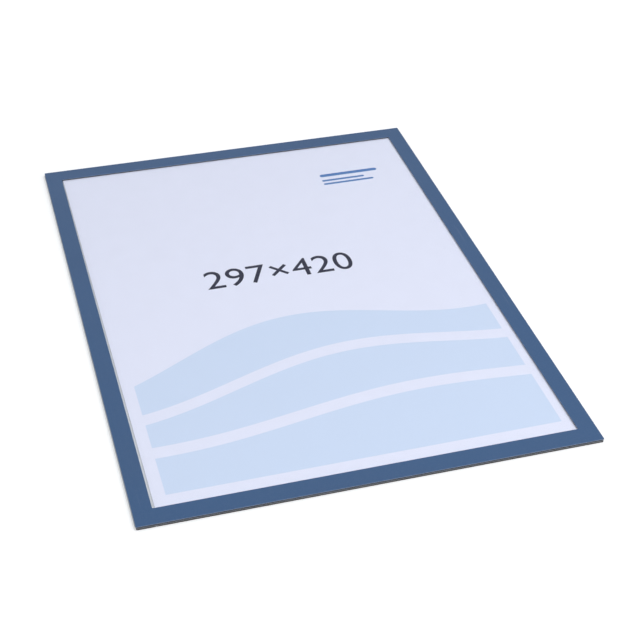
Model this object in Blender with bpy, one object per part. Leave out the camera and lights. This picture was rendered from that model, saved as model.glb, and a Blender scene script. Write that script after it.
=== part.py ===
"""Magnetic document frame: two thin leaves that close on a sheet like a book.

The back leaf is a clear film with a magnet strip under each side, which holds to steel. The
front leaf is a clear window film with thinner magnet strips and a one-piece facing on top. A
folded film strip joins the leaves along the left long side, and the sheet lies between them.

Metres, +Z up. The frame lies on its back, with its top side towards +Y. The origin is the
middle of the footprint, on the surface that the frame lies on.
"""
import math

import bmesh
import bpy
from mathutils import Vector

# Sheet that the frame is made for
SHEET_WIDTH = 0.297
SHEET_HEIGHT = 0.420
SHEET_THICKNESS = 0.0001
SHEET_CLEARANCE = 0.00015
SHEET_SKEW = math.radians(0.15)
SHEET_SHIFT = 0.0016

# Leaves, and the rails round the window
LEAF_MARGIN = 0.013
SIDE_RAIL_WIDTH = 0.0132
END_RAIL_WIDTH = 0.0144
OUTER_CORNER_RADIUS = 0.0008
INNER_CORNER_RADIUS = 0.0004
CORNER_STEPS = 8

# Layers of the two leaves
FACING_THICKNESS = 0.0004
FACING_ARRIS = 0.0001
ARRIS_STEPS = 3
FRONT_MAGNET_THICKNESS = 0.0006
WINDOW_FILM_THICKNESS = 0.00018
BACK_PANEL_THICKNESS = 0.0002
BACK_MAGNET_THICKNESS = 0.00105
BOND_LINE = 0.00005

# Magnet strips
MAGNET_INSET = 0.0003
MAGNET_JOINT = 0.0003

# Hinge strip along the left long side
HINGE_FILM_THICKNESS = 0.00008
HINGE_FLANGE_WIDTH = 0.0105
HINGE_LINE_OUTSET = 0.0004
HINGE_END_INSET = 0.0015
FOLD_STEPS = 12

# Sizes that follow
LEAF_WIDTH = SHEET_WIDTH + 2 * LEAF_MARGIN
LEAF_HEIGHT = SHEET_HEIGHT + 2 * LEAF_MARGIN
WINDOW_WIDTH = LEAF_WIDTH - 2 * SIDE_RAIL_WIDTH
WINDOW_HEIGHT = LEAF_HEIGHT - 2 * END_RAIL_WIDTH
LEAF_GAP = SHEET_THICKNESS + 2 * SHEET_CLEARANCE
FOLD_RADIUS = LEAF_GAP / 2 - BOND_LINE

# Heights of the layers, from the surface up
BACK_PANEL_BASE = BACK_MAGNET_THICKNESS + BOND_LINE
POCKET_BASE = BACK_PANEL_BASE + BACK_PANEL_THICKNESS
HINGE_LINE_Z = POCKET_BASE + LEAF_GAP / 2
WINDOW_FILM_BASE = POCKET_BASE + LEAF_GAP
FRONT_MAGNET_BASE = WINDOW_FILM_BASE + WINDOW_FILM_THICKNESS + BOND_LINE
FACING_BASE = FRONT_MAGNET_BASE + FRONT_MAGNET_THICKNESS + BOND_LINE

# The fold stands out on the left, so the leaves sit half its reach to the right
LEAF_X = (HINGE_LINE_OUTSET + FOLD_RADIUS) / 2
HINGE_LINE_X = LEAF_X - LEAF_WIDTH / 2 - HINGE_LINE_OUTSET


def clear_scene():
    """Remove what the file opens with."""
    for obj in list(bpy.data.objects):
        bpy.data.objects.remove(obj, do_unlink=True)


def material(name, colour, roughness, metallic=0.0, alpha=1.0):
    """A plain Principled material."""
    made = bpy.data.materials.new(name)
    made.use_nodes = True
    shader = made.node_tree.nodes["Principled BSDF"]
    shader.inputs["Base Color"].default_value = (*colour, 1.0)
    shader.inputs["Roughness"].default_value = roughness
    shader.inputs["Metallic"].default_value = metallic
    shader.inputs["Alpha"].default_value = alpha
    return made


def facing_vinyl():
    return material("facing_vinyl", (0.075, 0.135, 0.255), 0.42)


def magnet_rubber():
    return material("magnet_rubber", (0.022, 0.018, 0.016), 0.62)


def window_clear():
    return material("window_clear", (0.90, 0.92, 0.96), 0.12, alpha=0.22)


def panel_clear():
    return material("panel_clear", (0.86, 0.88, 0.92), 0.35, alpha=0.35)


def hinge_clear():
    return material("hinge_clear", (0.62, 0.66, 0.72), 0.30, alpha=0.6)


def sheet_paper():
    return material("sheet_paper", (0.80, 0.82, 0.88), 0.75)


def new_object(name, mesh, finish, parent, place, turn=0.0):
    """Link a mesh as a named object under its leaf, at a place in the part's own frame."""
    obj = bpy.data.objects.new(name, mesh)
    bpy.context.scene.collection.objects.link(obj)
    obj.data.materials.append(finish)
    obj.parent = parent
    obj.location = Vector(place) - parent.location
    obj.rotation_euler = (0.0, 0.0, turn)
    return obj


def new_empty(name, location):
    """An empty that carries the pieces which move together."""
    empty = bpy.data.objects.new(name, None)
    empty.empty_display_size = 0.03
    bpy.context.scene.collection.objects.link(empty)
    empty.location = location
    return empty


def corner(centre_x, centre_y, radius, start_angle):
    """Points round one corner, or the corner itself where it is sharp."""
    if radius <= 0.0:
        return [(centre_x, centre_y)]
    step = math.pi / 2 / CORNER_STEPS
    angles = [start_angle + step * k for k in range(CORNER_STEPS + 1)]
    return [(centre_x + radius * math.cos(a), centre_y + radius * math.sin(a)) for a in angles]


def outline(width, height, radii):
    """A rectangle round the origin, anticlockwise from its right top corner.

    radii gives the right top, left top, left bottom and right bottom corners.
    """
    signs = [(1, 1), (-1, 1), (-1, -1), (1, -1)]
    points = []
    for quarter, ((side_x, side_y), radius) in enumerate(zip(signs, radii)):
        centre_x = side_x * (width / 2 - radius)
        centre_y = side_y * (height / 2 - radius)
        points += corner(centre_x, centre_y, radius, quarter * math.pi / 2)
    return points


def finish_mesh(bm, name):
    """Turn a bmesh into a mesh with its faces pointing out and its curves smooth."""
    bmesh.ops.recalc_face_normals(bm, faces=bm.faces)
    mesh = bpy.data.meshes.new(name)
    bm.to_mesh(mesh)
    bm.free()
    mesh.shade_smooth()
    mesh.set_sharp_from_angle(angle=math.radians(30))
    return mesh


def plate(name, points, thickness):
    """A flat sheet cut to an outline, standing on z = 0."""
    bm = bmesh.new()
    base = bm.faces.new([bm.verts.new((x, y, 0.0)) for x, y in points])
    grown = bmesh.ops.extrude_face_region(bm, geom=[base])
    raised = [item for item in grown["geom"] if isinstance(item, bmesh.types.BMVert)]
    bmesh.ops.translate(bm, verts=raised, vec=(0.0, 0.0, thickness))
    return finish_mesh(bm, name)


def arris_profile():
    """The rail's section from its outer foot over the top to its inner foot.

    Each point is (inset from the outer side, inset from the inner side, height), with None for
    the side that it doesn't belong to.
    """
    rise = FACING_THICKNESS - FACING_ARRIS
    outer = [(0.0, None, 0.0)]
    inner = [(None, 0.0, 0.0)]
    for k in range(ARRIS_STEPS + 1):
        angle = math.pi / 2 * k / ARRIS_STEPS
        inset = FACING_ARRIS * (1 - math.cos(angle))
        height = rise + FACING_ARRIS * math.sin(angle)
        outer.append((inset, None, height))
        inner.append((None, inset, height))
    return outer + inner[::-1]


def facing_mesh():
    """The border: one profile carried round the leaf and closed on itself."""
    bm = bmesh.new()
    loops = []
    for outer_inset, inner_inset, height in arris_profile():
        if inner_inset is None:
            radius = OUTER_CORNER_RADIUS - outer_inset
            size = (LEAF_WIDTH - 2 * outer_inset, LEAF_HEIGHT - 2 * outer_inset)
        else:
            radius = INNER_CORNER_RADIUS + inner_inset
            size = (WINDOW_WIDTH + 2 * inner_inset, WINDOW_HEIGHT + 2 * inner_inset)
        points = outline(*size, [radius] * 4)
        loops.append([bm.verts.new((x, y, height)) for x, y in points])
    for loop, following in zip(loops, loops[1:] + loops[:1]):
        for k in range(len(loop)):
            after = (k + 1) % len(loop)
            bm.faces.new((loop[k], loop[after], following[after], following[k]))
    return finish_mesh(bm, "front_facing")


def strip_plan():
    """Each magnet strip's middle, size and corner radii, by side.

    The two long strips run the full height. The short ones butt against them.
    """
    radius = OUTER_CORNER_RADIUS - MAGNET_INSET
    side_width = SIDE_RAIL_WIDTH - 2 * MAGNET_INSET
    end_width = END_RAIL_WIDTH - 2 * MAGNET_INSET
    side_length = LEAF_HEIGHT - 2 * MAGNET_INSET
    end_length = LEAF_WIDTH - 2 * (MAGNET_INSET + side_width + MAGNET_JOINT)
    side_x = (LEAF_WIDTH - SIDE_RAIL_WIDTH) / 2
    end_y = (LEAF_HEIGHT - END_RAIL_WIDTH) / 2
    return {
        "top": ((0.0, end_y), (end_length, end_width), (0, 0, 0, 0)),
        "bottom": ((0.0, -end_y), (end_length, end_width), (0, 0, 0, 0)),
        "left": ((-side_x, 0.0), (side_width, side_length), (0, radius, radius, 0)),
        "right": ((side_x, 0.0), (side_width, side_length), (radius, 0, 0, radius)),
    }


def magnet_set(prefix, base, thickness, parent, finish):
    """Four strips of flexible magnet, one under each rail."""
    for side, (middle, size, radii) in strip_plan().items():
        name = f"{prefix}_magnet_{side}"
        mesh = plate(name, outline(*size, radii), thickness)
        place = (middle[0] + LEAF_X, middle[1], base)
        new_object(name, mesh, finish, parent, place)


def leaf_film(name, base, thickness, parent, finish):
    """A clear film cut to the whole leaf."""
    points = outline(LEAF_WIDTH, LEAF_HEIGHT, [OUTER_CORNER_RADIUS] * 4)
    new_object(name, plate(name, points, thickness), finish, parent, (LEAF_X, 0.0, base))


def fold_section():
    """The hinge strip's section round the hinge line, in X and Z, as one closed outline.

    The outside of the fold comes first, from the upper flange's end round to the lower one's,
    and the inside runs back.
    """
    flange_end = HINGE_LINE_OUTSET + HINGE_FLANGE_WIDTH
    section = []
    for radius, backwards in ((FOLD_RADIUS, False), (FOLD_RADIUS - HINGE_FILM_THICKNESS, True)):
        side = [(flange_end, radius)]
        for k in range(FOLD_STEPS + 1):
            angle = math.pi / 2 + math.pi * k / FOLD_STEPS
            side.append((radius * math.cos(angle), radius * math.sin(angle)))
        side.append((flange_end, -radius))
        section += side[::-1] if backwards else side
    return section


def hinge_strip(parent, finish):
    """A film folded round the hinge line, with a flange between the leaves on each side."""
    length = LEAF_HEIGHT - 2 * HINGE_END_INSET
    bm = bmesh.new()
    end = bm.faces.new([bm.verts.new((x, -length / 2, z)) for x, z in fold_section()])
    grown = bmesh.ops.extrude_face_region(bm, geom=[end])
    moved = [item for item in grown["geom"] if isinstance(item, bmesh.types.BMVert)]
    bmesh.ops.translate(bm, verts=moved, vec=(0.0, length, 0.0))
    mesh = finish_mesh(bm, "hinge_strip")
    new_object("hinge_strip", mesh, finish, parent, (HINGE_LINE_X, 0.0, HINGE_LINE_Z))


def back_leaf():
    """The leaf that stays on the steel, and the hinge strip bonded to it."""
    leaf = new_empty("back_leaf", (0.0, 0.0, 0.0))
    magnet_set("back", 0.0, BACK_MAGNET_THICKNESS, leaf, magnet_rubber())
    leaf_film("back_panel", BACK_PANEL_BASE, BACK_PANEL_THICKNESS, leaf, panel_clear())
    hinge_strip(leaf, hinge_clear())


def front_leaf():
    """The leaf that opens. Its empty lies on the hinge line."""
    leaf = new_empty("front_leaf", (HINGE_LINE_X, 0.0, HINGE_LINE_Z))
    magnet_set("front", FRONT_MAGNET_BASE, FRONT_MAGNET_THICKNESS, leaf, magnet_rubber())
    leaf_film("window_film", WINDOW_FILM_BASE, WINDOW_FILM_THICKNESS, leaf, window_clear())
    place = (LEAF_X, 0.0, FACING_BASE)
    new_object("front_facing", facing_mesh(), facing_vinyl(), leaf, place)


def document():
    """The sheet, lying a little askew between the leaves."""
    place = (LEAF_X + SHEET_SHIFT, 0.0, POCKET_BASE + SHEET_CLEARANCE)
    points = outline(SHEET_WIDTH, SHEET_HEIGHT, (0, 0, 0, 0))
    slide = new_empty("document", place)
    mesh = plate("document_sheet", points, SHEET_THICKNESS)
    new_object("document_sheet", mesh, sheet_paper(), slide, place, SHEET_SKEW)


def main():
    clear_scene()
    back_leaf()
    front_leaf()
    document()
    bpy.context.view_layer.update()


main()
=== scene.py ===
"""Magnetic document frame: finishes, printed sheet, folded hinge film and photo studio.

Metres, +Z up. The frame lies on its back with its top side towards +Y and its hinge towards
-X. The sheet carries a generic print: plain figures, rolling pale-blue bands and a few bars.
"""
import math

import bmesh
import bpy
from bpy.props import (FloatProperty, FloatVectorProperty, IntProperty, PointerProperty,
                       StringProperty)
from mathutils import Euler, Matrix, Vector


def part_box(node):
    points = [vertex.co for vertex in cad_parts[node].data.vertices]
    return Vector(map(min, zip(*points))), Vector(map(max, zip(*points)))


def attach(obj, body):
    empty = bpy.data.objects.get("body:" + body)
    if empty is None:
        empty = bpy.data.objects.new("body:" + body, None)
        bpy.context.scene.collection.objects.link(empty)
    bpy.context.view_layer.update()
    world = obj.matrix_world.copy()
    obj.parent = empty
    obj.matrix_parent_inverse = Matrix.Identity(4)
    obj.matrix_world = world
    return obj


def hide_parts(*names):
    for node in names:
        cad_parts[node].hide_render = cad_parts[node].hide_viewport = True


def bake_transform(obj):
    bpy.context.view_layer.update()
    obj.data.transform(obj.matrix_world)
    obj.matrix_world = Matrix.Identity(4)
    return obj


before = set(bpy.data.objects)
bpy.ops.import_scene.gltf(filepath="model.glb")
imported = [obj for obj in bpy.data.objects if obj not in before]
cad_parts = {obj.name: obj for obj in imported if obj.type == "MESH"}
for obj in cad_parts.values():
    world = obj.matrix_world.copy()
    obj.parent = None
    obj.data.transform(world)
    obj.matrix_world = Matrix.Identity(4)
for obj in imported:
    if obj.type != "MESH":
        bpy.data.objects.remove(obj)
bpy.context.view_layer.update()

bl_info = {
    "name": "Magnetic Document Frame",
    "version": (1, 0, 0),
    "blender": (4, 5, 0),
    "location": "3D View > Sidebar > Document Frame",
    "description": "Finishes, printed sheet, hinge film and studio for a magnetic document frame",
    "category": "Object",
}

MM = 0.001

SIDE_MAGNETS = ("left", "right")
END_MAGNETS = ("top", "bottom")
LEAVES = ("front", "back")

# Corners of a mesh nearer than this are one corner
WELD = 1e-7

# The print: how thick its ink is, and how far its underside stands off the paper
INK_THICKNESS = 0.01 * MM
INK_LIFT = 0.005 * MM
# Middle of the figures, from the middle of the sheet
FIGURE_PLACE = (-3.0 * MM, 29.0 * MM)
# Left end, foot, width and height of each bar, from the middle of the sheet
BARS = ((68.0 * MM, 158.0 * MM, 52.0 * MM, 4.2 * MM),
        (68.0 * MM, 150.5 * MM, 38.0 * MM, 2.6 * MM),
        (68.0 * MM, 145.0 * MM, 45.0 * MM, 2.6 * MM))
BAR_END_FACES = 6
BAND_FACES = 144

# A fold flatter than this is shaded smooth
SMOOTH_BELOW = math.radians(40.0)

# Share of light that the cut edge of a film stops, and the refractive index of the films
CUT_EDGE_COVER = 0.55
FILM_IOR = 1.45
# A magnet's fine lines repeat this many times as often along the strip as across it
LINE_STRETCH = 0.03
# Tone of the cloudy parts of the paper and of the floor, as a share of their colour
PAPER_CLOUD = 0.965
FLOOR_CLOUD = 0.985

# The floor lies this far under the frame, and its light changes over these distances
FLOOR_DROP = 0.02 * MM
FLOOR_FADE = (0.30, 1.60)
# The sky, by the parts of a direction of length 1: the ceiling darkens over a range of Z, which
# leans with X by a share, the near side darkens over a range of Y, and the white walls end over
# a range of Z
SKY_LEAN = 0.35
CEILING_RANGE = (0.22, 0.74)
NEAR_RANGE = (-0.8, 0.1)
WALL_RANGE = (0.22, 0.45)
SKY_COLOUR = (0.98, 0.99, 1.0)

# Place, aim and size of each lamp
SOFT_LAMP = {"place": (0.60, -0.68, 1.80), "aim": (0.0, 0.0, 0.0), "size": (3.0, 3.0)}
EDGE_CARD = {"place": (1.00, -1.20, 0.035), "aim": (0.10, -0.22, 0.001), "size": (0.50, 0.05)}

# The camera stands where the photograph was taken from. Its turn is in degrees
CAMERA_PLACE = (-0.2373, -0.8738, 0.6520)
CAMERA_TURN = (53.1893, -0.8505, -16.0305)
SENSOR_WIDTH = 36.0
NEAREST_SEEN = 0.01
FARTHEST_SEEN = 100.0


def colour_property(name, description, default):
    """A colour that a user may change."""
    return FloatVectorProperty(
        name=name, description=description, subtype="COLOR", size=3, min=0.0, max=1.0,
        default=default)


def share_property(name, description, default):
    """A number from 0 to 1 that a user may change."""
    return FloatProperty(
        name=name, description=description, subtype="FACTOR", min=0.0, max=1.0, default=default)


def length_property(name, description, default):
    """A length in metres that a user may change."""
    return FloatProperty(
        name=name, description=description, unit="LENGTH", subtype="DISTANCE", min=0.0,
        precision=5, default=default)


def angle_property(name, description, default):
    """An angle that a user may change."""
    return FloatProperty(
        name=name, description=description, unit="ROTATION", subtype="ANGLE", default=default)


class FacingFinish(bpy.types.PropertyGroup):
    """Looks of the die-cut border."""
    colour: colour_property("Border", "Colour of the border's face", (0.037, 0.096, 0.217))
    shade: colour_property("Shade", "Deeper tone of its soft variation", (0.031, 0.083, 0.191))
    # The pale cut-edge colour is partly the bare core and partly a painted highlight for the light
    # caught by the rounded arris; grain specks and scratches use it too
    edge: colour_property("Cut edge", "Colour of the bare core and painted highlight at the cut edge",
                          (0.215, 0.265, 0.36))
    roughness: share_property("Roughness", "Roughness of the satin face", 0.34)
    grain: length_property("Grain", "Size of the fine grain", 0.45 * MM)
    specks: share_property("Specks", "How much of the core shows in the grain", 0.09)
    scratches: share_property("Scratches", "How much of the core shows in scratches", 0.10)


class MagnetFinish(bpy.types.PropertyGroup):
    """Looks of the flexible magnet strips."""
    colour: colour_property("Magnet", "Colour of the magnet's skin", (0.022, 0.017, 0.015))
    edge: colour_property("Cut edge", "Colour of its cut edges", (0.024, 0.018, 0.016))
    dust_colour: colour_property("Dust colour", "Colour of the dust and of the lines' crests",
                                 (0.062, 0.055, 0.050))
    roughness: share_property("Roughness", "Roughness of the skin", 0.58)
    line_pitch: length_property("Line pitch", "Spacing of the fine lines along a strip",
                                0.9 * MM)
    lines: share_property("Lines", "How much the fine lines show", 0.35)
    dust: share_property("Dust", "How much dust lies on the skin", 0.28)
    grit: length_property("Grit", "Size of the gritty grain", 0.22 * MM)


class FilmFinish(bpy.types.PropertyGroup):
    """Looks of the clear films."""
    gloss: colour_property("Window gloss", "Colour of what the window film mirrors",
                           (0.94, 0.96, 1.0))
    panel: colour_property("Panel haze", "Colour of the back panel's haze", (0.73, 0.81, 0.94))
    edge: colour_property("Film edge", "Colour of a film's cut edge", (0.10, 0.11, 0.12))
    roughness: share_property("Window roughness", "Roughness of the window film", 0.06)
    panel_roughness: share_property("Panel roughness", "Roughness of the back panel", 0.28)
    haze: share_property("Panel cover", "Share of light that the back panel scatters", 0.30)


class HingeFinish(bpy.types.PropertyGroup):
    """Size and looks of the folded hinge film."""
    tint: colour_property("Hinge tint", "Colour of the frosted film", (0.55, 0.60, 0.67))
    fold: colour_property("Fold", "Paler tone of the fold and of the cut ends",
                          (0.64, 0.69, 0.75))
    roughness: share_property("Roughness", "Roughness of the frosted film", 0.4)
    haze: share_property("Haze", "Share of light that the film scatters", 0.55)
    thickness: length_property("Thickness", "Thickness of the film", 0.08 * MM)
    steps: IntProperty(name="Fold steps", description="Faces round the fold", default=16, min=6,
                       max=64)
    spans: IntProperty(name="Spans", description="Faces along the strip", default=40, min=1,
                       max=200)


class SheetPrint(bpy.types.PropertyGroup):
    """Paper, inks and layout of the printed sheet."""
    paper: colour_property("Paper", "Colour of the paper", (0.750, 0.782, 0.93))
    band: colour_property("Band ink", "Pale-blue ink of the rolling bands", (0.570, 0.680, 0.865))
    figure: colour_property("Figure ink", "Dark ink of the figures", (0.002, 0.003, 0.028))
    bar: colour_property("Bar ink", "Mid-blue ink of the bars", (0.045, 0.17, 0.45))
    figures: StringProperty(name="Figures", description="Plain figures on the sheet",
                            default="297×420")
    figure_size: length_property("Figure size", "Text size of the figures", 34.0 * MM)
    side_margin: length_property("Side margin", "Bare paper beside the bands", 9.0 * MM)
    foot_margin: length_property("Foot margin", "Bare paper below the bands", 13.0 * MM)
    bands: IntProperty(name="Bands", description="How many bands roll up the sheet", default=3,
                       min=1, max=8)
    band_pitch: length_property("Band pitch", "Rise from one band to the next", 49.0 * MM)
    band_gap: length_property("Band gap", "Bare stroke between two bands", 11.0 * MM)
    wave_height: length_property("Wave height", "Swing added by each band", 7.5 * MM)
    wave_length: length_property("Wave length", "Length of one full wave", 330.0 * MM)
    wave_turn: angle_property("Wave turn", "Turn of the wave from band to band",
                              math.radians(38.0))
    lean: FloatProperty(name="Lean", description="Slope added by each band", default=0.045)


class StudioSettings(bpy.types.PropertyGroup):
    """Floor, light and camera."""
    floor: colour_property("Floor", "Colour of the floor", (0.82, 0.83, 0.84))
    floor_lift: FloatProperty(name="Floor lift", description="Light that whitens the floor near "
                              "the frame", default=0.21, min=0.0, max=2.0)
    far_lift: FloatProperty(name="Far lift", description="The same far from the frame",
                            default=0.85, min=0.0, max=2.0)
    floor_size: length_property("Floor size", "Side of the floor", 60.0)
    horizon: FloatProperty(name="Horizon", description="Strength of the light low all round",
                           default=1.0, min=0.0, max=2.0)
    zenith: FloatProperty(name="Zenith", description="Strength of the light straight above",
                          default=0.20, min=0.0, max=2.0)
    front: share_property("Front", "Share of that light that comes from the near side", 0.22)
    lamp_power: FloatProperty(name="Lamp power", description="Power of the soft lamp in watts",
                              unit="POWER", default=59.0, min=0.0)
    card_power: FloatProperty(name="Card power", description="Power of the low lamp that lights "
                              "the near edge, in watts", unit="POWER", default=5.0, min=0.0)
    lens: FloatProperty(name="Lens", description="Focal length in millimetres", unit="CAMERA",
                        default=80.757, min=10.0)


# Small helpers for node trees

def add_node(tree, kind, values=None, **settings):
    """A node with its settings and its inputs' plain values."""
    made = tree.nodes.new(kind)
    for name, value in settings.items():
        setattr(made, name, value)
    for name, value in (values or {}).items():
        made.inputs[name].default_value = value
    return made


def join(tree, source, target):
    """Link an output to an input."""
    tree.links.new(source, target)


def maths(tree, operation, first, second=None, third=None, clamp=False):
    """One step of arithmetic. Arguments are sockets or plain numbers."""
    made = add_node(tree, "ShaderNodeMath", operation=operation, use_clamp=clamp)
    for place, value in enumerate((first, second, third)):
        if value is None:
            continue
        if isinstance(value, bpy.types.NodeSocket):
            join(tree, value, made.inputs[place])
        else:
            made.inputs[place].default_value = value
    return made.outputs[0]


def blend_colours(tree, share, first, second):
    """The first colour where share is 0, the second where it is 1."""
    made = add_node(tree, "ShaderNodeMix", data_type="RGBA")
    for place, value in ((0, share), (6, first), (7, second)):
        if isinstance(value, bpy.types.NodeSocket):
            join(tree, value, made.inputs[place])
        elif place == 0:
            made.inputs[place].default_value = value
        else:
            made.inputs[place].default_value = (*value, 1.0)
    return made.outputs[2]


def spread(tree, value, low, high, bottom, top):
    """Carry a value from one range to another, held within the new one."""
    made = add_node(tree, "ShaderNodeMapRange")
    join(tree, value, made.inputs[0])
    for place, number in enumerate((low, high, bottom, top), 1):
        made.inputs[place].default_value = number
    return made.outputs[0]


def mask(tree, value, low, high):
    """0 where a value is at or below low, 1 where it is at or above high."""
    return spread(tree, value, low, high, 0.0, 1.0)


def added(tree, extra, share, base, clamp=False):
    """A value with a share of another one added."""
    return maths(tree, "MULTIPLY_ADD", extra, share, base, clamp=clamp)


def strewn(tree, where, share, first, second):
    """The first colour with the second strewn on it by a mask, at most the share given."""
    return blend_colours(tree, maths(tree, "MULTIPLY", where, share), first, second)


def new_group(name, inputs, outputs):
    """An empty shader group with named sockets, and its two end nodes."""
    group = bpy.data.node_groups.new(name, "ShaderNodeTree")
    for label, kind, default in inputs:
        socket = group.interface.new_socket(name=label, in_out="INPUT", socket_type=kind)
        socket.default_value = default
    for label, kind in outputs:
        group.interface.new_socket(name=label, in_out="OUTPUT", socket_type=kind)
    return group, add_node(group, "NodeGroupInput"), add_node(group, "NodeGroupOutput")


def use_group(tree, group, **values):
    """Place a shader group in a material, with its own values."""
    made = add_node(tree, "ShaderNodeGroup")
    made.node_tree = group
    for name, value in values.items():
        made.inputs[name.replace("_", " ")].default_value = value
    return made


def new_material(name):
    """A material with a Principled shader, its tree and the shader."""
    made = bpy.data.materials.new(name)
    made.use_nodes = True
    return made, made.node_tree, made.node_tree.nodes["Principled BSDF"]


def background_rays(tree):
    """A mask of the rays that show the background: straight, mirrored or through glass."""
    path = add_node(tree, "ShaderNodeLightPath")
    seen = maths(tree, "ADD", path.outputs["Is Camera Ray"], path.outputs["Is Glossy Ray"])
    return maths(tree, "ADD", seen, path.outputs["Is Transmission Ray"], clamp=True)


def bump(tree, height, distance, strength=1.0, after=None):
    """A bump of a real height in metres."""
    made = add_node(tree, "ShaderNodeBump", {"Strength": strength, "Distance": distance})
    join(tree, height, made.inputs["Height"])
    if after is not None:
        join(tree, after, made.inputs["Normal"])
    return made.outputs[0]


# Effects that several finishes share

def grain_group():
    """Fine grain: a height and a mask, stretched along the strip where a value asks for it."""
    group, start, end = new_group(
        "fine_grain",
        [("Size", "NodeSocketFloat", 0.5 * MM), ("Stretch", "NodeSocketVector", (1, 1, 1))],
        [("Height", "NodeSocketFloat"), ("Mask", "NodeSocketFloat")])
    place = add_node(group, "ShaderNodeTexCoord")
    stretched = add_node(group, "ShaderNodeVectorMath", operation="MULTIPLY")
    join(group, place.outputs["Object"], stretched.inputs[0])
    join(group, start.outputs["Stretch"], stretched.inputs[1])
    scale = maths(group, "DIVIDE", 1.0, start.outputs["Size"])
    fine = add_node(group, "ShaderNodeTexNoise", {"Detail": 3.0, "Roughness": 0.55})
    cells = add_node(group, "ShaderNodeTexVoronoi", {"Randomness": 1.0}, feature="SMOOTH_F1")
    for texture in (fine, cells):
        join(group, stretched.outputs[0], texture.inputs["Vector"])
        join(group, scale, texture.inputs["Scale"])
    mixed = added(group, cells.outputs["Distance"], share=0.5, base=fine.outputs["Fac"])
    join(group, mixed, end.inputs["Height"])
    join(group, mask(group, fine.outputs["Fac"], low=0.35, high=0.65), end.inputs["Mask"])
    return group


def handling_group():
    """Marks of handling: broad smudges, fine scratches and a slow rise and fall."""
    group, start, end = new_group(
        "handling_marks",
        [("Smudge Size", "NodeSocketFloat", 0.06), ("Scratch Size", "NodeSocketFloat", 0.004),
         ("Seed", "NodeSocketFloat", 0.0)],
        [("Smudges", "NodeSocketFloat"), ("Scratches", "NodeSocketFloat"),
         ("Waves", "NodeSocketFloat")])
    place = add_node(group, "ShaderNodeTexCoord")
    moved = add_node(group, "ShaderNodeVectorMath", operation="ADD")
    join(group, place.outputs["Object"], moved.inputs[0])
    join(group, start.outputs["Seed"], moved.inputs[1])
    broad = add_node(group, "ShaderNodeTexNoise", {"Detail": 4.0, "Roughness": 0.6})
    slow = add_node(group, "ShaderNodeTexNoise", {"Detail": 1.0, "Roughness": 0.4})
    fine = add_node(group, "ShaderNodeTexNoise", {"Detail": 2.0, "Roughness": 0.7})
    turned = add_node(group, "ShaderNodeMapping", {"Rotation": (0.0, 0.0, 0.7),
                                                   "Scale": (1.0, 0.045, 1.0)})
    join(group, moved.outputs[0], turned.inputs["Vector"])
    wide = maths(group, "DIVIDE", 1.0, start.outputs["Smudge Size"])
    for texture in (broad, slow):
        join(group, moved.outputs[0], texture.inputs["Vector"])
        join(group, wide, texture.inputs["Scale"])
    join(group, turned.outputs[0], fine.inputs["Vector"])
    join(group, maths(group, "DIVIDE", 1.0, start.outputs["Scratch Size"]),
         fine.inputs["Scale"])
    join(group, mask(group, broad.outputs["Fac"], low=0.42, high=0.66), end.inputs["Smudges"])
    join(group, mask(group, fine.outputs["Fac"], low=0.66, high=0.74), end.inputs["Scratches"])
    join(group, slow.outputs["Fac"], end.inputs["Waves"])
    return group


def edge_group():
    """A mask that is 1 on the narrow cut edges of a flat piece and 0 on its two faces.

    On the folded hinge film it is 1 round the fold too.
    """
    group, start, end = new_group(
        "cut_edge",
        [("Ragged", "NodeSocketFloat", 0.3)],
        [("Edge", "NodeSocketFloat")])
    place = add_node(group, "ShaderNodeTexCoord")
    parts = add_node(group, "ShaderNodeSeparateXYZ")
    join(group, place.outputs["Normal"], parts.inputs[0])
    level = maths(group, "ABSOLUTE", parts.outputs["Z"])
    side = spread(group, level, low=0.30, high=0.92, bottom=1.0, top=0.0)
    rough = add_node(group, "ShaderNodeTexNoise", {"Scale": 900.0, "Detail": 2.0})
    join(group, place.outputs["Object"], rough.inputs["Vector"])
    loss = maths(group, "MULTIPLY", rough.outputs["Fac"], start.outputs["Ragged"])
    keep = maths(group, "SUBTRACT", 1.0, loss)
    join(group, maths(group, "MULTIPLY", side, keep, clamp=True), end.inputs["Edge"])
    return group


def shared_groups():
    """Build the shared effects once."""
    makers = {"fine_grain": grain_group, "handling_marks": handling_group,
              "cut_edge": edge_group}
    return {name: bpy.data.node_groups.get(name) or make() for name, make in makers.items()}


# Finishes

def facing_material(look):
    """Satin vinyl: fine grain, a slow change of tone, faint handling and a paler cut edge, partly
    bare core and partly a painted highlight.
    """
    made, tree, shader = new_material("facing_vinyl")
    groups = shared_groups()
    grain = use_group(tree, groups["fine_grain"], Size=look.grain)
    marks = use_group(tree, groups["handling_marks"], Smudge_Size=0.055, Scratch_Size=0.0035,
                      Seed=3.0)
    edge = use_group(tree, groups["cut_edge"], Ragged=0.35)
    tone = blend_colours(tree, marks.outputs["Waves"], look.colour, look.shade)
    speck = strewn(tree, grain.outputs["Mask"], look.specks, tone, look.edge)
    worn = strewn(tree, marks.outputs["Scratches"], look.scratches, speck, look.edge)
    # Cut edges take the pale edge colour: partly the bare core, partly a painted highlight
    # standing in for light caught by the arris
    join(tree, blend_colours(tree, edge.outputs["Edge"], worn, look.edge),
         shader.inputs["Base Color"])
    matt = added(tree, marks.outputs["Smudges"], share=0.08, base=look.roughness)
    grained = added(tree, grain.outputs["Mask"], share=0.05, base=matt)
    join(tree, added(tree, edge.outputs["Edge"], share=0.25, base=grained, clamp=True),
         shader.inputs["Roughness"])
    slow = bump(tree, marks.outputs["Waves"], distance=0.6 * MM, strength=0.5)
    join(tree, bump(tree, grain.outputs["Height"], distance=0.02 * MM, strength=0.7, after=slow),
         shader.inputs["Normal"])
    shader.inputs["IOR"].default_value = 1.46
    return made


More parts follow.
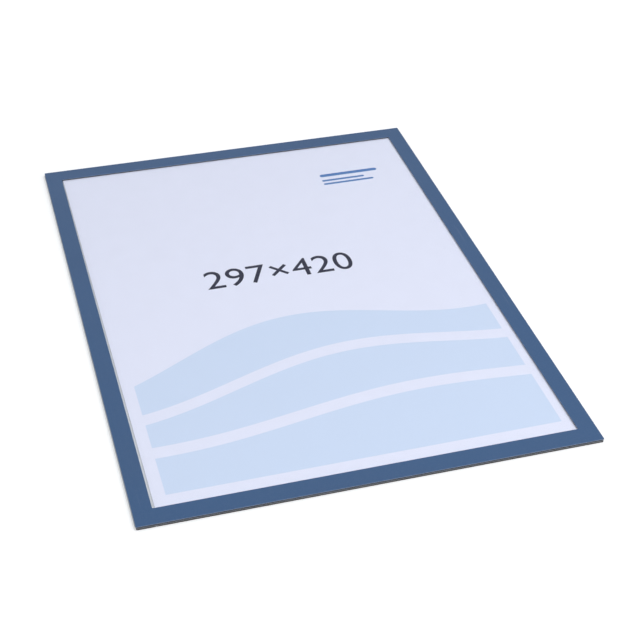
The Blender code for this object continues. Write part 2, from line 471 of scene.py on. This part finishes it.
def magnet_material(name, look, stretch, seed):
    """Flexible magnet: a dark skin with fine lines along the strip and a dusty cut edge."""
    made, tree, shader = new_material(name)
    groups = shared_groups()
    lines = use_group(tree, groups["fine_grain"], Size=look.line_pitch, Stretch=stretch)
    grit = use_group(tree, groups["fine_grain"], Size=look.grit)
    marks = use_group(tree, groups["handling_marks"], Smudge_Size=0.03, Scratch_Size=0.002,
                      Seed=seed)
    edge = use_group(tree, groups["cut_edge"], Ragged=0.5)
    skin = strewn(tree, marks.outputs["Smudges"], look.dust, look.colour, look.dust_colour)
    lined = strewn(tree, lines.outputs["Mask"], look.lines, skin, look.dust_colour)
    join(tree, blend_colours(tree, edge.outputs["Edge"], lined, look.edge),
         shader.inputs["Base Color"])
    skin_matt = added(tree, lines.outputs["Mask"], share=0.10, base=look.roughness)
    matt = added(tree, edge.outputs["Edge"], share=0.25, base=skin_matt)
    join(tree, added(tree, marks.outputs["Scratches"], share=-0.12, base=matt, clamp=True),
         shader.inputs["Roughness"])
    coarse = bump(tree, lines.outputs["Height"], distance=0.03 * MM, strength=0.7)
    join(tree, bump(tree, grit.outputs["Height"], distance=0.015 * MM, strength=0.8,
                    after=coarse), shader.inputs["Normal"])
    shader.inputs["Specular IOR Level"].default_value = 0.3
    return made


def film_material(name, colour, edge_colour, roughness, haze, seed):
    """Clear film: it shows only by what it mirrors, its haze and its cut edge.

    A ray meets two faces of the film, and only the one that it enters by mirrors and hazes. A
    film without haze mirrors all that its alpha leaves.
    """
    made, tree, shader = new_material(name)
    groups = shared_groups()
    marks = use_group(tree, groups["handling_marks"], Smudge_Size=0.07, Scratch_Size=0.003,
                      Seed=seed)
    edge = use_group(tree, groups["cut_edge"], Ragged=0.2)
    smear = added(tree, marks.outputs["Smudges"], share=0.06, base=roughness)
    join(tree, added(tree, marks.outputs["Scratches"], share=0.10, base=smear, clamp=True),
         shader.inputs["Roughness"])
    join(tree, bump(tree, marks.outputs["Waves"], distance=0.35 * MM, strength=0.6),
         shader.inputs["Normal"])
    join(tree, blend_colours(tree, edge.outputs["Edge"], colour, edge_colour),
         shader.inputs["Base Color"])
    shader.inputs["Metallic"].default_value = 0.0 if haze > 0.0 else 1.0
    gloss = add_node(tree, "ShaderNodeFresnel", {"IOR": FILM_IOR})
    side = add_node(tree, "ShaderNodeNewGeometry")
    outer = maths(tree, "SUBTRACT", 1.0, side.outputs["Backfacing"])
    hazed = added(tree, marks.outputs["Smudges"], share=0.1 * haze, base=haze)
    face = maths(tree, "MULTIPLY", maths(tree, "ADD", gloss.outputs[0], hazed), outer)
    join(tree, added(tree, edge.outputs["Edge"], CUT_EDGE_COVER, face, clamp=True),
         shader.inputs["Alpha"])
    return made


def paper_material(look):
    """Office paper: a cool white with a cloudy formation and a little tooth."""
    made, tree, shader = new_material("sheet_paper")
    groups = shared_groups()
    tooth = use_group(tree, groups["fine_grain"], Size=0.35 * MM)
    clouds = use_group(tree, groups["handling_marks"], Smudge_Size=0.012, Scratch_Size=0.004,
                       Seed=11.0)
    greyer = tuple(channel * PAPER_CLOUD for channel in look.paper)
    tone = blend_colours(tree, clouds.outputs["Waves"], look.paper, greyer)
    join(tree, strewn(tree, tooth.outputs["Mask"], 0.20, tone, greyer),
         shader.inputs["Base Color"])
    join(tree, added(tree, tooth.outputs["Mask"], share=0.08, base=0.82),
         shader.inputs["Roughness"])
    join(tree, bump(tree, tooth.outputs["Height"], distance=0.015 * MM, strength=0.6),
         shader.inputs["Normal"])
    shader.inputs["Specular IOR Level"].default_value = 0.25
    return made


def ink_material(name, colour, paper, cover, roughness):
    """Printed ink: the colour laid on the paper's tooth, a little thin where it didn't take."""
    made, tree, shader = new_material(name)
    groups = shared_groups()
    tooth = use_group(tree, groups["fine_grain"], Size=0.30 * MM)
    clouds = use_group(tree, groups["handling_marks"], Smudge_Size=0.05, Scratch_Size=0.004,
                       Seed=7.0)
    thin = maths(tree, "MULTIPLY", tooth.outputs["Mask"], 1.0 - cover)
    cloudy = added(tree, clouds.outputs["Waves"], share=0.5 * (1.0 - cover), base=thin)
    join(tree, blend_colours(tree, cloudy, colour, paper), shader.inputs["Base Color"])
    join(tree, added(tree, tooth.outputs["Mask"], share=0.10, base=roughness),
         shader.inputs["Roughness"])
    join(tree, bump(tree, tooth.outputs["Height"], distance=0.01 * MM, strength=0.5),
         shader.inputs["Normal"])
    shader.inputs["Specular IOR Level"].default_value = 0.25
    return made


def paint(node_name, finish):
    """Give a node of the frame its finish."""
    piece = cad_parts[node_name]
    for slot in piece.material_slots:
        slot.material = finish


# Meshes

def link_mesh(name, mesh):
    """A new piece at the origin."""
    piece = bpy.data.objects.new(name, mesh)
    bpy.context.scene.collection.objects.link(piece)
    return piece


def frozen(host, name):
    """The evaluated object as a plain mesh of a new piece. The host is removed."""
    graph = bpy.context.evaluated_depsgraph_get()
    mesh = bpy.data.meshes.new_from_object(host.evaluated_get(graph), depsgraph=graph)
    bpy.data.objects.remove(host, do_unlink=True)
    mesh.name = name
    return link_mesh(name, mesh)


def nodes_host(name, tree, values):
    """An empty mesh that carries a Geometry Nodes tree with its inputs set."""
    host = link_mesh(name, bpy.data.meshes.new(name))
    modifier = host.modifiers.new(name, "NODES")
    modifier.node_group = tree
    sockets = {item.name: item.identifier for item in tree.interface.items_tree
               if item.item_type == "SOCKET" and item.in_out == "INPUT"}
    for label, value in values.items():
        modifier[sockets[label]] = value
    return host


def geometry_tree(name, inputs):
    """A Geometry Nodes tree with named inputs and one mesh out."""
    tree = bpy.data.node_groups.new(name, "GeometryNodeTree")
    for label, kind in inputs:
        tree.interface.new_socket(name=label, in_out="INPUT", socket_type=kind)
    tree.interface.new_socket(name="Geometry", in_out="OUTPUT",
                              socket_type="NodeSocketGeometry")
    return tree, add_node(tree, "NodeGroupInput"), add_node(tree, "NodeGroupOutput")


def close_with_thickness(tree, geometry, thickness):
    """Raise a sheet of faces by a thickness along their normals and close it below."""
    raised = add_node(tree, "GeometryNodeExtrudeMesh", mode="FACES")
    raised.inputs["Individual"].default_value = False
    join(tree, geometry, raised.inputs["Mesh"])
    join(tree, thickness, raised.inputs["Offset Scale"])
    under = add_node(tree, "GeometryNodeFlipFaces")
    join(tree, geometry, under.inputs["Mesh"])
    both = add_node(tree, "GeometryNodeJoinGeometry")
    join(tree, raised.outputs["Mesh"], both.inputs[0])
    join(tree, under.outputs[0], both.inputs[0])
    welded = add_node(tree, "GeometryNodeMergeByDistance", {"Distance": WELD})
    join(tree, both.outputs[0], welded.inputs["Geometry"])
    return welded.outputs["Geometry"]


def finish_tree(tree, geometry, start, end):
    """End a tree with real geometry and its material."""
    real = add_node(tree, "GeometryNodeRealizeInstances")
    join(tree, geometry, real.inputs[0])
    coat = add_node(tree, "GeometryNodeSetMaterial")
    join(tree, real.outputs[0], coat.inputs["Geometry"])
    join(tree, start.outputs["Material"], coat.inputs["Material"])
    join(tree, coat.outputs[0], end.inputs["Geometry"])


def band_tree():
    """Rolling bands: each lies between two waves that swing wider the higher they are."""
    tree, start, end = geometry_tree("rolling_bands", [
        ("Bands", "NodeSocketInt"), ("Width", "NodeSocketFloat"), ("Foot", "NodeSocketFloat"),
        ("Pitch", "NodeSocketFloat"), ("Gap", "NodeSocketFloat"), ("Swing", "NodeSocketFloat"),
        ("Wave Length", "NodeSocketFloat"), ("Turn", "NodeSocketFloat"),
        ("Lean", "NodeSocketFloat"), ("Thickness", "NodeSocketFloat"),
        ("Material", "NodeSocketMaterial")])
    strip = add_node(tree, "GeometryNodeMeshGrid",
                     {"Size Y": 1.0, "Vertices X": BAND_FACES + 1, "Vertices Y": 2})
    join(tree, start.outputs["Width"], strip.inputs["Size X"])
    seeds = add_node(tree, "GeometryNodeMeshLine", {"Offset": (0.0, 0.0, 0.0)})
    join(tree, start.outputs["Bands"], seeds.inputs["Count"])
    placed = add_node(tree, "GeometryNodeInstanceOnPoints")
    join(tree, seeds.outputs[0], placed.inputs["Points"])
    join(tree, strip.outputs["Mesh"], placed.inputs["Instance"])
    number = add_node(tree, "GeometryNodeInputIndex")
    tagged = add_node(tree, "GeometryNodeStoreNamedAttribute", {"Name": "band"},
                      data_type="INT", domain="INSTANCE")
    join(tree, placed.outputs[0], tagged.inputs["Geometry"])
    join(tree, number.outputs[0], tagged.inputs["Value"])
    real = add_node(tree, "GeometryNodeRealizeInstances")
    join(tree, tagged.outputs[0], real.inputs[0])
    band = add_node(tree, "GeometryNodeInputNamedAttribute", {"Name": "band"},
                    data_type="INT").outputs[0]
    spot = add_node(tree, "ShaderNodeSeparateXYZ")
    join(tree, add_node(tree, "GeometryNodeInputPosition").outputs[0], spot.inputs[0])
    along = spot.outputs["X"]
    upper = maths(tree, "GREATER_THAN", spot.outputs["Y"], 0.0)
    rank = maths(tree, "ADD", band, upper)
    # Each long edge of a band has a rank and lies at Foot + rank * (Pitch + swing + slope)
    turns = maths(tree, "DIVIDE", maths(tree, "MULTIPLY", along, math.tau),
                  start.outputs["Wave Length"])
    phase = maths(tree, "MULTIPLY_ADD", rank, start.outputs["Turn"], turns)
    swing = maths(tree, "MULTIPLY", maths(tree, "SINE", phase), start.outputs["Swing"])
    sloped = maths(tree, "MULTIPLY_ADD", along, start.outputs["Lean"], swing)
    raised = maths(tree, "ADD", sloped, start.outputs["Pitch"])
    level = maths(tree, "MULTIPLY_ADD", rank, raised, start.outputs["Foot"])
    is_lower = maths(tree, "SUBTRACT", 1.0, upper)
    stroke = maths(tree, "MULTIPLY", start.outputs["Gap"], is_lower)
    above_first = maths(tree, "GREATER_THAN", band, 0.5)
    height = maths(tree, "MULTIPLY_ADD", stroke, above_first, level)
    point = add_node(tree, "ShaderNodeCombineXYZ")
    join(tree, along, point.inputs["X"])
    join(tree, height, point.inputs["Y"])
    shaped = add_node(tree, "GeometryNodeSetPosition")
    join(tree, real.outputs[0], shaped.inputs["Geometry"])
    join(tree, point.outputs[0], shaped.inputs["Position"])
    solid = close_with_thickness(tree, shaped.outputs[0], start.outputs["Thickness"])
    finish_tree(tree, solid, start, end)
    return tree


def fold_tree():
    """A film strip folded round the hinge line, from the upper flange to the lower one.

    The rows of a grid that is 2 wide are counted from 0, the end of the upper flange, through
    the fold's rows to the last one, the end of the lower flange.
    """
    tree, start, end = geometry_tree("folded_strip", [
        ("Radius", "NodeSocketFloat"), ("Flange", "NodeSocketFloat"),
        ("Length", "NodeSocketFloat"), ("Steps", "NodeSocketInt"), ("Spans", "NodeSocketInt"),
        ("Thickness", "NodeSocketFloat"), ("Material", "NodeSocketMaterial")])
    sheet = add_node(tree, "GeometryNodeMeshGrid", {"Size X": 2.0})
    join(tree, start.outputs["Length"], sheet.inputs["Size Y"])
    join(tree, maths(tree, "ADD", start.outputs["Steps"], 3), sheet.inputs["Vertices X"])
    join(tree, maths(tree, "ADD", start.outputs["Spans"], 1), sheet.inputs["Vertices Y"])
    spot = add_node(tree, "ShaderNodeSeparateXYZ")
    join(tree, add_node(tree, "GeometryNodeInputPosition").outputs[0], spot.inputs[0])
    rows = maths(tree, "ADD", start.outputs["Steps"], 2)
    row = maths(tree, "MULTIPLY", maths(tree, "MULTIPLY_ADD", spot.outputs["X"], 0.5, 0.5), rows)
    bend = maths(tree, "DIVIDE", maths(tree, "SUBTRACT", row, 1.0), start.outputs["Steps"],
                 clamp=True)
    angle = maths(tree, "MULTIPLY_ADD", bend, math.pi, math.pi / 2)
    first = maths(tree, "LESS_THAN", row, 0.5)
    last = maths(tree, "GREATER_THAN", row, maths(tree, "SUBTRACT", rows, 0.5))
    reach = maths(tree, "MULTIPLY", maths(tree, "ADD", first, last), start.outputs["Flange"])
    across = maths(tree, "MULTIPLY_ADD", maths(tree, "COSINE", angle), start.outputs["Radius"],
                   reach)
    height = maths(tree, "MULTIPLY", maths(tree, "SINE", angle), start.outputs["Radius"])
    point = add_node(tree, "ShaderNodeCombineXYZ")
    join(tree, across, point.inputs["X"])
    join(tree, spot.outputs["Y"], point.inputs["Y"])
    join(tree, height, point.inputs["Z"])
    shaped = add_node(tree, "GeometryNodeSetPosition")
    join(tree, sheet.outputs["Mesh"], shaped.inputs["Geometry"])
    join(tree, point.outputs[0], shaped.inputs["Position"])
    solid = close_with_thickness(tree, shaped.outputs[0], start.outputs["Thickness"])
    finish_tree(tree, solid, start, end)
    return tree


def smooth_faces(mesh):
    """Shade round curves smooth and keep corners sharp."""
    mesh.shade_smooth()
    mesh.set_sharp_from_angle(angle=SMOOTH_BELOW)


def face_outwards(mesh):
    """Weld a mesh and turn its faces outwards."""
    bm = bmesh.new()
    bm.from_mesh(mesh)
    bmesh.ops.remove_doubles(bm, verts=bm.verts, dist=WELD)
    bmesh.ops.recalc_face_normals(bm, faces=bm.faces)
    bm.to_mesh(mesh)
    bm.free()


def sheet_place():
    """The sheet's own frame in the part, on its printed face, with its width and height."""
    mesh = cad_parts["document_sheet"].data
    points = [vertex.co for vertex in mesh.vertices]
    foot_left = min(points, key=lambda p: p.x + p.y)
    foot_right = max(points, key=lambda p: p.x - p.y)
    top_left = max(points, key=lambda p: p.y - p.x)
    along = (foot_right - foot_left).xy
    up = (top_left - foot_left).xy
    turn = math.atan2(along.y, along.x)
    low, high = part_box("document_sheet")
    middle = Vector(((low[0] + high[0]) / 2, (low[1] + high[1]) / 2, high[2] + INK_LIFT))
    place = Matrix.Translation(middle) @ Matrix.Rotation(turn, 4, "Z")
    return place, along.length, up.length


def lay_on_sheet(piece):
    """Carry a flat print from the sheet's own frame into place on the sheet."""
    place, _, _ = sheet_place()
    piece.data.transform(place)
    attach(piece, "document")


def bar_face(bm, left, foot, width, height):
    """A bar with half-round ends, as one face."""
    radius = height / 2
    points = []
    for centre, first in ((left + width - radius, -math.pi / 2), (left + radius, math.pi / 2)):
        for k in range(BAR_END_FACES + 1):
            angle = first + math.pi * k / BAR_END_FACES
            points.append((centre + radius * math.cos(angle),
                           foot + radius + radius * math.sin(angle)))
    bm.faces.new([bm.verts.new((x, y, 0.0)) for x, y in points])


# Operators

class DOCFRAME_OT_facing(bpy.types.Operator):
    """Finish the die-cut border"""
    bl_idname = "document_frame.facing"
    bl_label = "Border"

    def execute(self, context):
        paint("front_facing", facing_material(context.scene.document_frame_facing))
        return {"FINISHED"}


class DOCFRAME_OT_magnets(bpy.types.Operator):
    """Finish the eight flexible magnet strips"""
    bl_idname = "document_frame.magnets"
    bl_label = "Magnet strips"

    def execute(self, context):
        look = context.scene.document_frame_magnets
        across = magnet_material("magnet_across", look, (LINE_STRETCH, 1.0, 1.0), seed=5.0)
        upright = magnet_material("magnet_upright", look, (1.0, LINE_STRETCH, 1.0), seed=9.0)
        for leaf in LEAVES:
            for side in END_MAGNETS:
                paint(f"{leaf}_magnet_{side}", across)
            for side in SIDE_MAGNETS:
                paint(f"{leaf}_magnet_{side}", upright)
        return {"FINISHED"}


class DOCFRAME_OT_films(bpy.types.Operator):
    """Finish the window film and the back panel"""
    bl_idname = "document_frame.films"
    bl_label = "Clear films"

    def execute(self, context):
        look = context.scene.document_frame_films
        paint("window_film", film_material(
            "window_clear", look.gloss, look.edge, look.roughness, haze=0.0, seed=2.0))
        paint("back_panel", film_material(
            "panel_clear", look.panel, look.edge, look.panel_roughness, look.haze, seed=6.0))
        return {"FINISHED"}


class DOCFRAME_OT_hinge(bpy.types.Operator):
    """Fold the hinge film between the two leaves"""
    bl_idname = "document_frame.hinge"
    bl_label = "Hinge film"

    def execute(self, context):
        look = context.scene.document_frame_hinge
        low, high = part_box("hinge_strip")
        radius = (high[2] - low[2]) / 2
        line = Vector((low[0] + radius, 0.0, (low[2] + high[2]) / 2))
        finish = film_material("hinge_frosted", look.tint, look.fold, look.roughness, look.haze,
                               seed=4.0)
        host = nodes_host("hinge_film", fold_tree(), {
            "Radius": radius - look.thickness, "Flange": high[0] - line.x,
            "Length": high[1] - low[1], "Steps": look.steps, "Spans": look.spans,
            "Thickness": look.thickness, "Material": finish})
        film = frozen(host, "hinge_film")
        face_outwards(film.data)
        film.data.transform(Matrix.Translation(line))
        smooth_faces(film.data)
        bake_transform(film)
        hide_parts("hinge_strip")
        return {"FINISHED"}


class DOCFRAME_OT_sheet(bpy.types.Operator):
    """Finish the paper and print its bands, figures and bars"""
    bl_idname = "document_frame.sheet"
    bl_label = "Printed sheet"

    def execute(self, context):
        look = context.scene.document_frame_sheet
        paint("document_sheet", paper_material(look))
        self.print_bands(look)
        self.print_figures(look)
        self.print_bars(look)
        return {"FINISHED"}

    def print_bands(self, look):
        """Pale bands that roll across the lower half."""
        _, width, height = sheet_place()
        ink = ink_material("band_ink", look.band, look.paper, cover=0.90, roughness=0.70)
        host = nodes_host("printed_bands", band_tree(), {
            "Bands": look.bands, "Width": width - 2 * look.side_margin,
            "Foot": look.foot_margin - height / 2, "Pitch": look.band_pitch,
            "Gap": look.band_gap, "Swing": look.wave_height, "Wave Length": look.wave_length,
            "Turn": look.wave_turn, "Lean": look.lean, "Thickness": INK_THICKNESS,
            "Material": ink})
        bands = frozen(host, "printed_bands")
        face_outwards(bands.data)
        lay_on_sheet(bands)

    def print_figures(self, look):
        """Plain dark figures above the middle."""
        text = bpy.data.curves.new("printed_figures", "FONT")
        text.body = look.figures
        text.size = look.figure_size
        text.align_x = "CENTER"
        text.align_y = "CENTER"
        text.extrude = INK_THICKNESS / 2
        host = link_mesh("figure_text", text)
        figures = frozen(host, "printed_figures")
        figures.data.transform(Matrix.Translation((*FIGURE_PLACE, INK_THICKNESS / 2)))
        face_outwards(figures.data)
        figures.data.materials.clear()
        figures.data.materials.append(
            ink_material("figure_ink", look.figure, look.paper, cover=0.97, roughness=0.55))
        lay_on_sheet(figures)

    def print_bars(self, look):
        """Three short bars near the top right corner."""
        bm = bmesh.new()
        for bar in BARS:
            bar_face(bm, *bar)
        grown = bmesh.ops.extrude_face_region(bm, geom=bm.faces[:])
        raised = [item for item in grown["geom"] if isinstance(item, bmesh.types.BMVert)]
        bmesh.ops.translate(bm, verts=raised, vec=(0.0, 0.0, INK_THICKNESS))
        mesh = bpy.data.meshes.new("printed_bars")
        bm.to_mesh(mesh)
        bm.free()
        face_outwards(mesh)
        mesh.materials.append(
            ink_material("bar_ink", look.bar, look.paper, cover=0.95, roughness=0.55))
        lay_on_sheet(link_mesh("printed_bars", mesh))


class DOCFRAME_OT_studio(bpy.types.Operator):
    """Set the floor, the light and the camera"""
    bl_idname = "document_frame.studio"
    bl_label = "Studio"

    def execute(self, context):
        look = context.scene.document_frame_studio
        self.floor(look)
        self.sky(context, look)
        self.lamp("soft_lamp", look.lamp_power, **SOFT_LAMP)
        self.lamp("edge_card", look.card_power, **EDGE_CARD)
        self.camera(context, look)
        context.scene.view_settings.view_transform = "Standard"
        return {"FINISHED"}

    def floor(self, look):
        """A pale floor that shows as white, straight or mirrored, and keeps the shadow."""
        bm = bmesh.new()
        bmesh.ops.create_grid(bm, x_segments=1, y_segments=1, size=look.floor_size / 2)
        mesh = bpy.data.meshes.new("floor")
        bm.to_mesh(mesh)
        bm.free()
        made, tree, shader = new_material("floor_white")
        grain = add_node(tree, "ShaderNodeTexNoise", {"Scale": 3.0, "Detail": 2.0})
        place = add_node(tree, "ShaderNodeTexCoord").outputs["Object"]
        join(tree, place, grain.inputs["Vector"])
        darker = tuple(channel * FLOOR_CLOUD for channel in look.floor)
        join(tree, blend_colours(tree, grain.outputs["Fac"], look.floor, darker),
             shader.inputs["Base Color"])
        shader.inputs["Roughness"].default_value = 0.9
        shader.inputs["Specular IOR Level"].default_value = 0.1
        shader.inputs["Emission Color"].default_value = (1.0, 1.0, 1.0, 1.0)
        away = add_node(tree, "ShaderNodeVectorMath", operation="LENGTH")
        join(tree, place, away.inputs[0])
        lift = spread(tree, away.outputs["Value"], *FLOOR_FADE, look.floor_lift, look.far_lift)
        join(tree, maths(tree, "MULTIPLY", background_rays(tree), lift),
             shader.inputs["Emission Strength"])
        mesh.materials.append(made)
        ground = link_mesh("floor", mesh)
        ground.data.transform(Matrix.Translation((0.0, 0.0, -FLOOR_DROP)))

    def sky(self, context, look):
        """White walls all round under a darker ceiling."""
        world = bpy.data.worlds.new("studio_sky")
        world.use_nodes = True
        tree = world.node_tree
        back = tree.nodes["Background"]
        back.inputs["Color"].default_value = (*SKY_COLOUR, 1.0)
        parts = add_node(tree, "ShaderNodeSeparateXYZ")
        join(tree, add_node(tree, "ShaderNodeTexCoord").outputs["Generated"], parts.inputs[0])
        leaned = maths(tree, "MULTIPLY_ADD", parts.outputs["X"], SKY_LEAN, parts.outputs["Z"])
        strength = spread(tree, leaned, *CEILING_RANGE, look.horizon, look.zenith)
        front = spread(tree, parts.outputs["Y"], *NEAR_RANGE, look.front, 1.0)
        lit = maths(tree, "MULTIPLY", strength, front)
        low = spread(tree, parts.outputs["Z"], *WALL_RANGE, 1.0, 0.0)
        walls = maths(tree, "MULTIPLY", background_rays(tree), low)
        join(tree, maths(tree, "MAXIMUM", lit, walls), back.inputs["Strength"])
        context.scene.world = world

    def lamp(self, name, power, place, aim, size):
        """A soft rectangular lamp that looks at a point of the frame."""
        data = bpy.data.lights.new(name, "AREA")
        data.shape = "RECTANGLE"
        data.size, data.size_y = size
        data.energy = power
        lamp = bpy.data.objects.new(name, data)
        bpy.context.scene.collection.objects.link(lamp)
        lamp.location = place
        lamp.rotation_euler = (Vector(aim) - lamp.location).to_track_quat("-Z", "Y").to_euler()
        lamp.visible_camera = False

    def camera(self, context, look):
        """The view of the photograph."""
        data = bpy.data.cameras.new("camera")
        data.lens = look.lens
        data.sensor_width = SENSOR_WIDTH
        data.clip_start = NEAREST_SEEN
        data.clip_end = FARTHEST_SEEN
        camera = bpy.data.objects.new("camera", data)
        context.scene.collection.objects.link(camera)
        camera.location = CAMERA_PLACE
        camera.rotation_euler = Euler([math.radians(turn) for turn in CAMERA_TURN], "XYZ")
        context.scene.camera = camera


class DOCFRAME_PT_panel(bpy.types.Panel):
    """Lists the frame's pieces and their settings"""
    bl_idname = "DOCFRAME_PT_panel"
    bl_label = "Document Frame"
    bl_space_type = "VIEW_3D"
    bl_region_type = "UI"
    bl_category = "Document Frame"

    def draw(self, context):
        for operator, attribute in STEPS:
            box = self.layout.box()
            box.operator(operator.bl_idname)
            settings = getattr(context.scene, attribute)
            for name in settings.__annotations__:
                box.prop(settings, name)


STEPS = (
    (DOCFRAME_OT_facing, "document_frame_facing"),
    (DOCFRAME_OT_magnets, "document_frame_magnets"),
    (DOCFRAME_OT_films, "document_frame_films"),
    (DOCFRAME_OT_hinge, "document_frame_hinge"),
    (DOCFRAME_OT_sheet, "document_frame_sheet"),
    (DOCFRAME_OT_studio, "document_frame_studio"),
)
SETTINGS = (FacingFinish, MagnetFinish, FilmFinish, HingeFinish, SheetPrint, StudioSettings)


def register():
    """Add the settings, operators and panel."""
    for (operator, attribute), settings in zip(STEPS, SETTINGS):
        bpy.utils.register_class(settings)
        bpy.utils.register_class(operator)
        setattr(bpy.types.Scene, attribute, PointerProperty(type=settings))
    bpy.utils.register_class(DOCFRAME_PT_panel)


def unregister():
    """Take them away again."""
    bpy.utils.unregister_class(DOCFRAME_PT_panel)
    for (operator, attribute), settings in zip(STEPS, SETTINGS):
        delattr(bpy.types.Scene, attribute)
        bpy.utils.unregister_class(operator)
        bpy.utils.unregister_class(settings)


def main():
    """Dress the frame."""
    register()
    for operator, _ in STEPS:
        family, name = operator.bl_idname.split(".")
        getattr(getattr(bpy.ops, family), name)()


if __name__ == "__main__":
    main()
